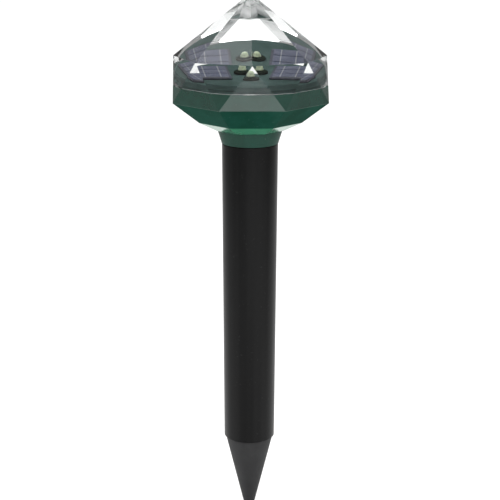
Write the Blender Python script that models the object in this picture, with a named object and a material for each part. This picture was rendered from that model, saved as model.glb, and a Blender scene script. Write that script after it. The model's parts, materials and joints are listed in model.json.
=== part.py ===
# Garden stake that sends pulses into the soil: a faceted solar head stands on a tapered tube.
# Metres, +Z up. The spike's tip is the origin and the front of the head faces -Y.
import math

import bmesh
import bpy
from mathutils import Matrix, Vector

# clearances
GAP = 0.0003            # between pieces that seat on each other
HOLE_GAP = 0.0002       # round a screw's shank or a lead
CELL_GAP = 0.0001       # under the thin solar cells

# heights along the stake, from the tip up
SPIKE_LENGTH = 0.0577
TUBE_LENGTH = 0.2227
COLLAR_HEIGHT = 0.0100
LOWER_TIER_HEIGHT = 0.0065
UPPER_TIER_HEIGHT = 0.0150
GIRDLE_HEIGHT = 0.0300
RIM_HEIGHT = 0.0110
CROWN_HEIGHT = 0.0425

# head
FACETS = 8
HEAD_TURN = math.radians(1.5)
GIRDLE_R = 0.0580
GIRDLE_LEAN = 0.0045      # how far the wall draws in on its way up
TIER_R = 0.0385
COLLAR_LIP = 0.00025      # collar's overhang past the tube
COLLAR_FLARE = 0.0031
SEAT_WIDTH = 0.0150       # from the girdle's corners in to the deck
RIM_WALL = 0.0030
RIM_LIP = 0.0012          # rim left standing round the gasket
SHELF_THICK = 0.0020      # shelf that carries the deck and the gasket
LEDGE = 0.0025            # how far the shelf reaches under the deck
BOWL_WALL = 0.0030
FLOOR_R = 0.0205
GASKET_THICK = 0.0008

# tube and spike
TUBE_TOP_R = 0.01990
TUBE_END_R = 0.01860
TUBE_WALL = 0.0018
SPIKE_R = 0.0176
SPIKE_TIP_R = 0.0045
SPIKE_WALL = 0.0032
SPIGOT_LENGTH = 0.0220

# deck under the crown, its panels and lamp
DECK_HEIGHT = 0.0060
DECK_THICK = 0.0025
DECK_RISE = 0.0035        # deck's top above the crown's foot
DECK_EDGE = 0.0016        # deck left free past a panel's corners
PANEL_DEPTH = 0.0440
PANEL_THICK = 0.0012
PANEL_SPACE = 0.0030      # between a panel and the lamp's ring
CELLS_PER_PANEL = 3
CELL_THICK = 0.0003
CELL_MARGIN = 0.0020
CELL_SPACE = 0.0012
BEZEL_R = 0.0060
BEZEL_HEIGHT = 0.0020
LED_R = 0.0025
LED_HEIGHT = 0.0030
LED_FLANGE_R = 0.0029
LED_FLANGE_HEIGHT = 0.0010
LEAD_R = 0.0006
LEG_R = 0.0003
LEG_SPREAD = 0.00127

# board in the bowl
BOARD_SIZE = 0.0420
BOARD_THICK = 0.0016
BOARD_RISE = 0.0075
POST_R = 0.0028
POST_EDGE = 0.0090        # from the board's edge to its screws
CHIP_SIZE = (0.0095, 0.0064, 0.0033)
CAPACITOR_R = 0.0032
CAPACITOR_HEIGHT = 0.0090
COIL_R = 0.0045
COIL_CORE_R = 0.0026
COIL_HEIGHT = 0.0085
COIL_FLANGE = 0.0012

# screws
SHANK_R = 0.0011
SCREW_HEAD_R = 0.0022
SCREW_HEAD_HEIGHT = 0.0014
SHANK_LENGTH = 0.0070
SLOT_WIDTH = 0.0005
SLOT_DEPTH = 0.0006
PLUG_SCREWS = 3

# plug under the collar
PLUG_PLAY = 0.0003        # round the plug's end, where the tube is tightest
PLUG_WALL = 0.0014
PLUG_STEP = 0.0010        # step in the bore that stops the holder
PLUG_TOP_THICK = 0.0020
BOSS_R = 0.0026
BOSS_HEIGHT = 0.0075
BOSS_PLAY = 0.0004
WIRE_HOLE_R = 0.0045
RING_DEPTH = 0.0175
RING_R = 0.00075
GROOVE_DEPTH = 0.0009
GROOVE_WIDTH = 0.0022

# power switch on the plug
SWITCH_SPACE = 0.0160
SWITCH_SIZE = (0.0064, 0.0052, 0.0120)
KNOB_SIZE = (0.0030, 0.0054, 0.0032)
KNOB_TRAVEL = 0.0030
KNOB_SUNK = 0.0004
WINDOW_MARGIN = 0.0009

# cells and their holder
CELL_R = 0.0052
CELL_LENGTH = 0.0437
NUB_R = 0.0019
NUB_HEIGHT = 0.0010
HOLDER_HALF_DEPTH = 0.0066
HOLDER_END = 0.0012
HOLDER_BACK = 0.0011
PLATE_THICK = 0.0004
SPRING_LENGTH = 0.0036
SPRING_R = 0.0030
SPRING_WIRE_R = 0.0003
SPRING_TURNS = 3

# sounder in the plug's end
SPEAKER_HEIGHT = 0.0060
SPEAKER_FLANGE = 0.0012
SPEAKER_HUB_R = 0.0085
SPEAKER_SHEET = 0.0010
MAGNET_R = 0.0080
MAGNET_HEIGHT = 0.0040
COIL_HOLE_R = 0.0040
CONE_EDGE = 0.0032
CONE_SHEET = 0.0004
CAP_THICK = 0.0016
CAP_SPIGOT = 0.0020
CAP_EDGE = 0.0042
CAP_RIB = 0.0020

# roundness
FINE = 64
MEDIUM = 32
COARSE = 16

# heights worked out from the lengths above
Z_SHOULDER = SPIKE_LENGTH
Z_TUBE_END = Z_SHOULDER + GAP
Z_TUBE_TOP = Z_TUBE_END + TUBE_LENGTH
Z_COLLAR = Z_TUBE_TOP + GAP
Z_NECK = Z_COLLAR + COLLAR_HEIGHT
Z_FLOOR = Z_NECK + BOWL_WALL
Z_TIER = Z_NECK + LOWER_TIER_HEIGHT
Z_GIRDLE = Z_TIER + UPPER_TIER_HEIGHT
Z_RIM = Z_GIRDLE + RIM_HEIGHT
Z_CROWN = Z_RIM + GAP
Z_UPPER = Z_GIRDLE + GIRDLE_HEIGHT
Z_APEX = Z_UPPER + CROWN_HEIGHT
Z_DECK_TOP = Z_CROWN + DECK_RISE
Z_DECK = Z_DECK_TOP - DECK_HEIGHT
Z_LEDGE = Z_DECK - GAP
Z_SHELF = Z_LEDGE - SHELF_THICK
Z_PANEL = Z_DECK_TOP + GAP
Z_CELL = Z_PANEL + PANEL_THICK + CELL_GAP
Z_CELL_TOP = Z_CELL + CELL_THICK
Z_BEZEL = Z_DECK_TOP + GAP
Z_LED = Z_BEZEL + BEZEL_HEIGHT + GAP
Z_LED_TOP = Z_LED + LED_FLANGE_HEIGHT + LED_HEIGHT
Z_BOARD = Z_FLOOR + BOARD_RISE
Z_BOARD_TOP = Z_BOARD + BOARD_THICK
Z_PLUG_TOP = Z_NECK - GAP
Z_RING = Z_PLUG_TOP - RING_DEPTH
Z_SWITCH_TOP = Z_RING - 0.5 * GROOVE_WIDTH - 0.5 * SWITCH_SPACE + 0.5 * SWITCH_SIZE[2]
Z_SWITCH = Z_SWITCH_TOP - SWITCH_SIZE[2]
Z_HOLDER_TOP = Z_SWITCH - GAP
HOLDER_ROOM = CELL_LENGTH + NUB_HEIGHT + SPRING_LENGTH + 2.0 * PLATE_THICK + 5.0 * GAP
Z_HOLDER = Z_HOLDER_TOP - HOLDER_ROOM - 2.0 * HOLDER_END
Z_CELLS_MIDDLE = 0.5 * (Z_HOLDER_TOP + Z_HOLDER)
Z_MAGNET_TOP = Z_HOLDER - GAP
Z_MAGNET = Z_MAGNET_TOP - MAGNET_HEIGHT
Z_SPEAKER_TOP = Z_MAGNET - GAP
Z_SPEAKER = Z_SPEAKER_TOP - SPEAKER_HEIGHT
Z_CAP_SPIGOT = Z_SPEAKER - GAP
Z_PLUG_END = Z_CAP_SPIGOT - CAP_SPIGOT
Z_CAP_TOP = Z_PLUG_END - GAP

# places worked out from the sizes above
UPPER_R = GIRDLE_R - GIRDLE_LEAN
COLLAR_R = TUBE_TOP_R + COLLAR_LIP
NECK_R = COLLAR_R + COLLAR_FLARE
NECK_CORNER_R = NECK_R / math.cos(math.pi / FACETS)
DECK_R = GIRDLE_R - SEAT_WIDTH
PANEL_REACH = math.sqrt((DECK_R - DECK_EDGE) ** 2 - (0.5 * PANEL_DEPTH) ** 2)
PANEL_WIDTH = PANEL_REACH - BEZEL_R - PANEL_SPACE
PANEL_SPREAD = PANEL_REACH - 0.5 * PANEL_WIDTH
POST_PLACE = 0.5 * BOARD_SIZE - POST_EDGE
TUBE_SLOPE = (TUBE_TOP_R - TUBE_END_R) / TUBE_LENGTH
PLUG_R = TUBE_END_R + TUBE_SLOPE * (Z_CAP_TOP - CAP_THICK - Z_TUBE_END) - TUBE_WALL - PLUG_PLAY
PLUG_BORE_R = PLUG_R - PLUG_WALL
PLUG_NECK_BORE_R = PLUG_BORE_R - PLUG_STEP
BOSS_PLACE = PLUG_NECK_BORE_R - BOSS_PLAY - BOSS_R
HOLDER_R = PLUG_BORE_R - GAP
CONE_R = HOLDER_R - CONE_EDGE
CAP_MOUTH_R = HOLDER_R - CAP_EDGE
CELL_PLACE = CELL_R + 0.5 * GAP
POCKET_HALF_WIDTH = CELL_PLACE + CELL_R + GAP
SWITCH_FACE = -math.sqrt((PLUG_NECK_BORE_R - GAP) ** 2 - (0.5 * SWITCH_SIZE[0]) ** 2)
SWITCH_BACK = SWITCH_FACE + SWITCH_SIZE[1]
KNOB_FACE = -(PLUG_R - KNOB_SUNK)
Z_KNOB = Z_SWITCH + 0.5 * (SWITCH_SIZE[2] - KNOB_TRAVEL - KNOB_SIZE[2])
Z_KNOB_REACH = Z_KNOB + KNOB_SIZE[2] + KNOB_TRAVEL
LEAD_BACK = HOLDER_HALF_DEPTH + 3.0 * LEAD_R


def clear_scene():
    for item in list(bpy.data.objects):
        bpy.data.objects.remove(item, do_unlink=True)


def material(name, colour, roughness, metallic=0.0, transmission=0.0):
    made = bpy.data.materials.new(name)
    made.use_nodes = True
    shader = made.node_tree.nodes["Principled BSDF"]
    shader.inputs["Base Color"].default_value = (*colour, 1.0)
    shader.inputs["Roughness"].default_value = roughness
    shader.inputs["Metallic"].default_value = metallic
    shader.inputs["Transmission Weight"].default_value = transmission
    return made


def add_object(name, bm, finish):
    """Turn a bmesh into a named object with its own material."""
    bmesh.ops.recalc_face_normals(bm, faces=bm.faces)
    mesh = bpy.data.meshes.new(name)
    bm.to_mesh(mesh)
    bm.free()
    item = bpy.data.objects.new(name, mesh)
    bpy.context.scene.collection.objects.link(item)
    if finish is not None:
        mesh.materials.append(material(name, *finish))
    return item


def cut(target, bm, operation="DIFFERENCE"):
    """Cut a bmesh out of the target, or join it on, with a Boolean modifier."""
    count = len(target.modifiers) + 1
    tool = add_object(f"{target.name}_tool_{count}", bm, None)
    tool.hide_render = True
    tool.display_type = "WIRE"
    tool.matrix_world = target.matrix_world
    modifier = target.modifiers.new(f"shape_{count}", "BOOLEAN")
    modifier.operation = operation
    modifier.solver = "EXACT"
    modifier.object = tool


def join(target, bm):
    cut(target, bm, "UNION")


def ring(count, radius, z, turn=0.0):
    """Points round the Z axis, counted from the front (-Y)."""
    step = 2.0 * math.pi / count
    return [
        Vector((radius * math.sin(turn + i * step), -radius * math.cos(turn + i * step), z))
        for i in range(count)
    ]


def hull(points):
    bm = bmesh.new()
    for point in points:
        bm.verts.new(point)
    result = bmesh.ops.convex_hull(bm, input=bm.verts)
    loose = [item for item in result["geom_interior"] if isinstance(item, bmesh.types.BMVert)]
    bmesh.ops.delete(bm, geom=loose, context="VERTS")
    bmesh.ops.dissolve_limit(bm, angle_limit=0.001, verts=bm.verts, edges=bm.edges)
    return bm


def lathe(outline, count, place=(0.0, 0.0)):
    """Turn a closed (radius, z) outline round the Z axis. A radius of 0 is a pole."""
    bm = bmesh.new()
    loops = []
    for radius, z in outline:
        if radius == 0.0:
            pole = bm.verts.new((0.0, 0.0, z))
            loops.append([pole] * count)
        else:
            loops.append([bm.verts.new(point) for point in ring(count, radius, z, math.pi / count)])
    for lower, upper in zip(loops, loops[1:] + loops[:1]):
        for i in range(count):
            j = (i + 1) % count
            corners = list(dict.fromkeys((lower[i], lower[j], upper[j], upper[i])))
            if len(corners) > 2:
                bm.faces.new(corners)
    bmesh.ops.translate(bm, verts=bm.verts, vec=(place[0], place[1], 0.0))
    return bm


def disc(radius, low, high, count=MEDIUM, place=(0.0, 0.0)):
    return lathe([(0.0, low), (radius, low), (radius, high), (0.0, high)], count, place)


def box(low, high):
    bm = bmesh.new()
    bmesh.ops.create_cube(bm, size=1.0)
    low = Vector(low)
    high = Vector(high)
    size = high - low
    bmesh.ops.transform(bm, verts=bm.verts, matrix=Matrix.Diagonal((*size, 1.0)))
    bmesh.ops.translate(bm, verts=bm.verts, vec=0.5 * (low + high))
    return bm


def girdle_ring(inset=0.0, z=Z_GIRDLE):
    return ring(FACETS, GIRDLE_R - inset, z, HEAD_TURN + math.pi / FACETS)


def upper_ring():
    return ring(FACETS, UPPER_R, Z_UPPER, HEAD_TURN)


def wall_section(z, inset=0.0):
    """Outline of the girdle's triangle wall at a height, drawn in by an inset."""
    share = (z - Z_GIRDLE) / GIRDLE_HEIGHT
    low = girdle_ring()
    high = upper_ring()
    points = []
    for i in range(FACETS):
        points.append(low[i - 1].lerp(high[i], share))
        points.append(low[i].lerp(high[i], share))
    reach = min(point.xy.length for point in points)
    scale = 1.0 - inset / reach
    return [Vector((point.x * scale, point.y * scale, z)) for point in points]


def straight(points, low, high):
    """Prism over an outline, from one height to another."""
    return hull([Vector((p.x, p.y, z)) for p in points for z in (low, high)])


def tube_radius(z):
    return TUBE_END_R + TUBE_SLOPE * (z - Z_TUBE_END)


def bore_radius(z):
    return tube_radius(z) - TUBE_WALL


def make_stake_tube(finish):
    outline = [
        (tube_radius(Z_TUBE_END), Z_TUBE_END),
        (tube_radius(Z_TUBE_TOP), Z_TUBE_TOP),
        (bore_radius(Z_TUBE_TOP), Z_TUBE_TOP),
        (bore_radius(Z_TUBE_END), Z_TUBE_END),
    ]
    add_object("stake_tube", lathe(outline, FINE), finish)


def spike_nose():
    """Round tip whose last point meets the cone's side without a corner."""
    rise = Z_SHOULDER - SPIKE_TIP_R
    reach = math.hypot(SPIKE_R, rise)
    end = math.atan2(rise, SPIKE_R) - math.acos(SPIKE_TIP_R / reach)
    steps = 6
    points = [(0.0, 0.0)]
    for i in range(1, steps + 1):
        angle = -0.5 * math.pi + (end + 0.5 * math.pi) * i / steps
        points.append((SPIKE_TIP_R * math.cos(angle), SPIKE_TIP_R + SPIKE_TIP_R * math.sin(angle)))
    return points


def make_ground_spike(finish):
    spigot_top = Z_TUBE_END + SPIGOT_LENGTH
    low_r = bore_radius(Z_TUBE_END) - GAP
    top_r = bore_radius(spigot_top) - GAP
    chamfer = 0.5 * SPIKE_WALL
    core_r = low_r - SPIKE_WALL
    core_end = Z_SHOULDER * 0.35
    outline = spike_nose() + [
        (SPIKE_R, Z_SHOULDER),
        (low_r, Z_SHOULDER),
        (top_r, spigot_top - chamfer),
        (top_r - 0.5 * chamfer, spigot_top),
        (core_r, spigot_top),
        (core_r, Z_SHOULDER),
        (0.25 * core_r, core_end),
        (0.0, core_end),
    ]
    add_object("ground_spike", lathe(outline, FINE), finish)


def make_crystal_dome(finish):
    """Thick clear crown with a pocket below for the deck and its panels."""
    points = wall_section(Z_CROWN) + upper_ring() + [Vector((0.0, 0.0, Z_APEX))]
    crown = add_object("crystal_dome", hull(points), finish)
    below = Z_CROWN - RIM_HEIGHT
    cut(crown, disc(DECK_R + GAP, below, Z_CELL_TOP + GAP, FINE))
    cut(crown, disc(BEZEL_R + GAP, below, Z_LED + GAP))
    cut(crown, disc(LED_FLANGE_R + GAP, below, Z_LED_TOP + GAP))


def make_dome_gasket(finish):
    low = Z_RIM - GASKET_THICK + 0.5 * GAP
    outer = wall_section(Z_RIM, RIM_LIP + 0.5 * GAP)
    gasket = add_object("dome_gasket", straight(outer, low, Z_RIM), finish)
    cut(gasket, disc(DECK_R + GAP, low - RIM_WALL, Z_RIM + RIM_WALL, FINE))


def bowl_cavity():
    """Room inside the bowl, below the shelf that carries the deck."""
    points = wall_section(Z_SHELF, RIM_WALL)
    points += girdle_ring(RIM_WALL)
    points += ring(FACETS, TIER_R - 0.3 * BOWL_WALL, Z_TIER + BOWL_WALL, HEAD_TURN + math.pi / FACETS)
    points += ring(MEDIUM, FLOOR_R, Z_FLOOR)
    return hull(points)


def plug_screw_places():
    points = ring(PLUG_SCREWS, BOSS_PLACE, 0.0, math.pi / PLUG_SCREWS)
    return [(point.x, point.y) for point in points]


def board_places():
    return [(x, y) for x in (-POST_PLACE, POST_PLACE) for y in (-POST_PLACE, POST_PLACE)]


def make_head_base(finish):
    points = wall_section(Z_RIM) + girdle_ring()
    points += ring(FACETS, TIER_R, Z_TIER, HEAD_TURN + math.pi / FACETS)
    points += ring(FACETS, NECK_CORNER_R, Z_NECK, HEAD_TURN + math.pi / FACETS)
    base = add_object("head_base", hull(points), finish)
    sunk = 0.1 * LOWER_TIER_HEIGHT
    slope = (NECK_R - COLLAR_R) / COLLAR_HEIGHT
    collar = [
        (0.0, Z_COLLAR),
        (COLLAR_R, Z_COLLAR),
        (NECK_R - GAP + slope * sunk, Z_NECK + sunk),
        (0.0, Z_NECK + sunk),
    ]
    join(base, lathe(collar, FINE))
    above = Z_RIM + RIM_HEIGHT
    cut(base, bowl_cavity())
    cut(base, disc(DECK_R - LEDGE, Z_SHELF - SHELF_THICK, above, FINE))
    cut(base, disc(DECK_R + GAP, Z_LEDGE, above, FINE))
    cut(base, straight(wall_section(Z_RIM, RIM_LIP), Z_RIM - GASKET_THICK, above))
    cut(base, disc(PLUG_R + GAP, Z_COLLAR - COLLAR_HEIGHT, Z_NECK, FINE))
    for place in board_places():
        join(base, disc(POST_R, Z_FLOOR - 0.5 * BOWL_WALL, Z_BOARD - GAP, COARSE, place))
    for place in board_places():
        cut(base, disc(SHANK_R + HOLE_GAP, Z_FLOOR, Z_BOARD + BOARD_RISE, COARSE, place))
    for place in plug_screw_places():
        cut(base, disc(SHANK_R + HOLE_GAP, Z_COLLAR, Z_BOARD, COARSE, place))
    cut(base, disc(WIRE_HOLE_R, Z_COLLAR, Z_BOARD))


def panel_sides():
    return (("1", -PANEL_SPREAD), ("2", PANEL_SPREAD))


def panel_lead_place(middle):
    """Where a panel's lead goes down through the deck, near the panel's inner edge."""
    inward = -math.copysign(0.5 * PANEL_WIDTH - CELL_MARGIN, middle)
    return (middle + inward, 0.36 * PANEL_DEPTH)


def led_leg_places():
    return (("1", -LEG_SPREAD), ("2", LEG_SPREAD))


def make_panel_deck(finish):
    """Round platform: a flat top on a skirt that stands on the bowl's shelf."""
    under = Z_DECK_TOP - DECK_THICK
    skirt = DECK_R - LEDGE
    outline = [
        (0.0, under),
        (skirt, under),
        (skirt, Z_DECK),
        (DECK_R, Z_DECK),
        (DECK_R, Z_DECK_TOP),
        (0.0, Z_DECK_TOP),
    ]
    deck = add_object("panel_deck", lathe(outline, FINE), finish)
    low = Z_DECK - DECK_THICK
    high = Z_DECK_TOP + DECK_THICK
    for _, middle in panel_sides():
        cut(deck, disc(LEAD_R + HOLE_GAP, low, high, COARSE, panel_lead_place(middle)))
    cut(deck, disc(LEG_SPREAD + LEG_R + HOLE_GAP, low, high, COARSE))


def make_solar_panel(number, middle, finish):
    low = (middle - 0.5 * PANEL_WIDTH, -0.5 * PANEL_DEPTH, Z_PANEL)
    high = (middle + 0.5 * PANEL_WIDTH, 0.5 * PANEL_DEPTH, Z_PANEL + PANEL_THICK)
    add_object(f"solar_panel_{number}", box(low, high), finish)


def make_solar_cells(number, middle, finish):
    """Equal strips across a panel, inside its margin."""
    room = PANEL_DEPTH - 2.0 * CELL_MARGIN + CELL_SPACE
    pitch = room / CELLS_PER_PANEL
    half = 0.5 * PANEL_WIDTH - CELL_MARGIN
    for k in range(CELLS_PER_PANEL):
        front = CELL_MARGIN - 0.5 * PANEL_DEPTH + k * pitch
        low = (middle - half, front, Z_CELL)
        high = (middle + half, front + pitch - CELL_SPACE, Z_CELL_TOP)
        add_object(f"solar_cell_{number}_{k + 1}", box(low, high), finish)


def make_led_bezel(finish):
    top = Z_BEZEL + BEZEL_HEIGHT
    hole = LEG_SPREAD + LEG_R + HOLE_GAP
    outline = [
        (hole, Z_BEZEL),
        (BEZEL_R, Z_BEZEL),
        (BEZEL_R, top - 0.3 * BEZEL_HEIGHT),
        (0.8 * BEZEL_R, top),
        (hole, top),
    ]
    add_object("led_bezel", lathe(outline, MEDIUM), finish)


def make_flash_led(finish):
    flange_top = Z_LED + LED_FLANGE_HEIGHT
    dome = Z_LED_TOP - LED_R
    outline = [(0.0, Z_LED), (LED_FLANGE_R, Z_LED), (LED_FLANGE_R, flange_top), (LED_R, flange_top)]
    steps = 5
    for i in range(steps):
        angle = 0.5 * math.pi * i / steps
        outline.append((LED_R * math.cos(angle), dome + LED_R * math.sin(angle)))
    outline.append((0.0, Z_LED_TOP))
    add_object("flash_led", lathe(outline, MEDIUM), finish)


def lead(name, points, radius, finish):
    """Insulated lead or leg along a hand-set route, with closed ends."""
    path = bpy.data.curves.new(name, "CURVE")
    path.dimensions = "3D"
    path.bevel_depth = radius
    path.bevel_resolution = 1
    path.use_fill_caps = True
    line = path.splines.new("POLY")
    line.points.add(len(points) - 1)
    for knot, point in zip(line.points, points):
        knot.co = (*point, 1.0)
    path.materials.append(material(name, *finish))
    item = bpy.data.objects.new(name, path)
    bpy.context.scene.collection.objects.link(item)


def make_led_legs(finish):
    for number, x in led_leg_places():
        points = [(x, 0.0, Z_BOARD_TOP + GAP), (x, 0.0, Z_LED - GAP)]
        lead(f"led_leg_{number}", points, LEG_R, finish)


def make_panel_leads(finishes):
    for (number, middle), finish in zip(panel_sides(), finishes):
        x, y = panel_lead_place(middle)
        points = [(x, y, Z_BOARD_TOP + GAP), (x, y, Z_PANEL - GAP)]
        lead(f"panel_lead_{number}", points, LEAD_R, finish)


def make_circuit_board(finish):
    half = 0.5 * BOARD_SIZE
    board = add_object("circuit_board", box((-half, -half, Z_BOARD), (half, half, Z_BOARD_TOP)), finish)
    for place in board_places():
        cut(board, disc(SHANK_R + HOLE_GAP, Z_BOARD - BOARD_THICK, Z_BOARD_TOP + BOARD_THICK, COARSE, place))


def make_board_parts(chip, can, winding):
    low = Z_BOARD_TOP + GAP
    width, depth, height = CHIP_SIZE
    side = POST_PLACE + SCREW_HEAD_R
    chip_low = (-0.5 * width, -side - 0.5 * depth, low)
    chip_high = (0.5 * width, -side + 0.5 * depth, low + height)
    add_object("timer_chip", box(chip_low, chip_high), chip)
    place = (0.0, side)
    add_object("capacitor", disc(CAPACITOR_R, low, low + CAPACITOR_HEIGHT, MEDIUM, place), can)
    outline = [
        (0.0, low),
        (COIL_R, low),
        (COIL_R, low + COIL_FLANGE),
        (0.5 * (COIL_R + COIL_CORE_R), low + COIL_FLANGE),
        (0.5 * (COIL_R + COIL_CORE_R), low + COIL_HEIGHT - COIL_FLANGE),
        (COIL_R, low + COIL_HEIGHT - COIL_FLANGE),
        (COIL_R, low + COIL_HEIGHT),
        (0.0, low + COIL_HEIGHT),
    ]
    add_object("boost_coil", lathe(outline, MEDIUM, (side, 0.0)), winding)


def make_screw(name, place, seat, finish):
    """Pan-head screw with a slot, its shank pointing down from the seat."""
    top = seat + SCREW_HEAD_HEIGHT
    outline = [
        (0.0, seat - SHANK_LENGTH),
        (0.5 * SHANK_R, seat - SHANK_LENGTH),
        (SHANK_R, seat - SHANK_LENGTH + SHANK_R),
        (SHANK_R, seat),
        (SCREW_HEAD_R, seat),
        (SCREW_HEAD_R, seat + 0.5 * SCREW_HEAD_HEIGHT),
        (0.7 * SCREW_HEAD_R, top),
        (0.0, top),
    ]
    screw = add_object(name, lathe(outline, COARSE, place), finish)
    low = (place[0] - SCREW_HEAD_HEIGHT - SCREW_HEAD_R, place[1] - 0.5 * SLOT_WIDTH, top - SLOT_DEPTH)
    high = (place[0] + SCREW_HEAD_HEIGHT + SCREW_HEAD_R, place[1] + 0.5 * SLOT_WIDTH, top + SLOT_DEPTH)
    cut(screw, box(low, high))


def make_screws(finish):
    for i, place in enumerate(board_places()):
        make_screw(f"board_screw_{i + 1}", place, Z_BOARD_TOP + GAP, finish)
    for i, place in enumerate(plug_screw_places()):
        make_screw(f"plug_screw_{i + 1}", place, Z_FLOOR + GAP, finish)


def make_neck_plug(finish):
    under = Z_PLUG_TOP - PLUG_TOP_THICK
    groove_r = PLUG_R - GROOVE_DEPTH
    groove_top = Z_RING + 0.5 * GROOVE_WIDTH
    groove_low = Z_RING - 0.5 * GROOVE_WIDTH
    outline = [
        (WIRE_HOLE_R, Z_PLUG_TOP),
        (PLUG_R, Z_PLUG_TOP),
        (PLUG_R, groove_top),
        (groove_r, groove_top),
        (groove_r, groove_low),
        (PLUG_R, groove_low),
        (PLUG_R, Z_PLUG_END),
        (PLUG_BORE_R, Z_PLUG_END),
        (PLUG_BORE_R, Z_HOLDER_TOP + GAP),
        (PLUG_NECK_BORE_R, Z_HOLDER_TOP + GAP),
        (PLUG_NECK_BORE_R, under),
        (WIRE_HOLE_R, under),
    ]
    plug = add_object("neck_plug", lathe(outline, FINE), finish)
    boss_end = Z_PLUG_TOP - BOSS_HEIGHT
    for place in plug_screw_places():
        join(plug, disc(BOSS_R, boss_end, Z_PLUG_TOP - 0.5 * PLUG_TOP_THICK, MEDIUM, place))
    for place in plug_screw_places():
        cut(plug, disc(SHANK_R + HOLE_GAP, boss_end - GAP, Z_NECK, COARSE, place))
    half = 0.5 * KNOB_SIZE[0] + WINDOW_MARGIN
    low = (-half, -PLUG_R - BOWL_WALL, Z_KNOB - WINDOW_MARGIN)
    high = (half, SWITCH_FACE, Z_KNOB_REACH + WINDOW_MARGIN)
    cut(plug, box(low, high))


def make_neck_o_ring(finish):
    middle = PLUG_R - GROOVE_DEPTH + 0.5 * GAP + RING_R
    outline = []
    steps = 8
    for i in range(steps):
        angle = 2.0 * math.pi * (i + 0.5) / steps
        outline.append((middle + RING_R * math.cos(angle), Z_RING + RING_R * math.sin(angle)))
    add_object("neck_o_ring", lathe(outline, FINE), finish)


def make_switch(body_finish, knob_finish):
    half = 0.5 * SWITCH_SIZE[0]
    body = add_object(
        "switch_body",
        box((-half, SWITCH_FACE, Z_SWITCH), (half, SWITCH_BACK, Z_SWITCH_TOP)),
        body_finish,
    )
    stem_end = KNOB_FACE + KNOB_SIZE[1]
    slot_half = 0.5 * KNOB_SIZE[0] + GAP
    low = (-slot_half, KNOB_FACE, Z_KNOB - GAP)
    high = (slot_half, stem_end + GAP, Z_KNOB_REACH + GAP)
    cut(body, box(low, high))
    half = 0.5 * KNOB_SIZE[0]
    middle = Vector((0.0, KNOB_FACE + 0.5 * KNOB_SIZE[1], Z_KNOB + 0.5 * KNOB_SIZE[2]))
    reach = Vector((half, 0.5 * KNOB_SIZE[1], 0.5 * KNOB_SIZE[2]))
    knob = add_object("switch_knob", box(-reach, reach), knob_finish)
    knob.location = middle


def holder_outline():
    """Round sides that guide the holder in the bore, with a flat front and back."""
    half_angle = math.asin(HOLDER_HALF_DEPTH / HOLDER_R)
    steps = 8
    points = []
    for side in (0.0, math.pi):
        for i in range(steps + 1):
            angle = side - half_angle + 2.0 * half_angle * i / steps
            points.append(Vector((HOLDER_R * math.cos(angle), HOLDER_R * math.sin(angle), 0.0)))
    return points


def make_battery_holder(finish):
    holder = add_object("battery_holder", straight(holder_outline(), Z_HOLDER, Z_HOLDER_TOP), finish)
    back = HOLDER_HALF_DEPTH - HOLDER_BACK
    low = (-POCKET_HALF_WIDTH, -2.0 * HOLDER_HALF_DEPTH, Z_HOLDER + HOLDER_END)
    high = (POCKET_HALF_WIDTH, back, Z_HOLDER_TOP - HOLDER_END)
    cut(holder, box(low, high))


def cell_sides():
    """Name, place and which way each cell's plus end points."""
    return (("1", -CELL_PLACE, 1.0), ("2", CELL_PLACE, -1.0))


def plate_face():
    """Distance from the cells' middle to the plates' inner face."""
    return 0.5 * HOLDER_ROOM - GAP - PLATE_THICK


def upright(outline, way):
    """Outline measured up from the cells' middle, or down from it where way is -1."""
    return [(radius, Z_CELLS_MIDDLE + way * height) for radius, height in outline]


def make_battery_cells(finish):
    plus = plate_face() - GAP
    shoulder = plus - NUB_HEIGHT
    minus = shoulder - CELL_LENGTH
    edge = 0.08 * CELL_R
    outline = [
        (0.0, minus),
        (CELL_R - edge, minus),
        (CELL_R, minus + edge),
        (CELL_R, shoulder - edge),
        (CELL_R - edge, shoulder),
        (NUB_R, shoulder),
        (NUB_R, plus),
        (0.0, plus),
    ]
    for number, x, way in cell_sides():
        add_object(f"battery_cell_{number}", lathe(upright(outline, way), MEDIUM, (x, 0.0)), finish)


def make_contact_springs(finish):
    """One unbroken helix under each cell's minus end."""
    rest = plate_face() - GAP - SPRING_WIRE_R
    rise = SPRING_LENGTH - GAP - 2.0 * SPRING_WIRE_R
    per_turn = 12
    count = SPRING_TURNS * per_turn
    for number, x, way in cell_sides():
        points = []
        for i in range(count + 1):
            angle = 2.0 * math.pi * i / per_turn
            height = Z_CELLS_MIDDLE - way * (rest - rise * i / count)
            points.append((x + SPRING_R * math.cos(angle), SPRING_R * math.sin(angle), height))
        lead(f"contact_spring_{number}", points, SPRING_WIRE_R, finish)
    pitch = rise / SPRING_TURNS
    print("contact spring: least gap between turns", round(pitch - 2.0 * SPRING_WIRE_R, 5))


def make_contact_plates(finish):
    half_depth = CELL_R - GAP
    near = plate_face()
    far = near + PLATE_THICK
    reach = POCKET_HALF_WIDTH - GAP
    top = (Z_CELLS_MIDDLE + near, Z_CELLS_MIDDLE + far)
    end = (Z_CELLS_MIDDLE - far, Z_CELLS_MIDDLE - near)
    spans = {
        "plus_plate": (-reach, -0.5 * CELL_PLACE + GAP, top),
        "minus_plate": (0.5 * CELL_PLACE - GAP, reach, top),
        "bridge_plate": (-reach, reach, end),
    }
    for name, (left, right, (low, high)) in spans.items():
        add_object(name, box((left, -half_depth, low), (right, half_depth, high)), finish)


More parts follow.
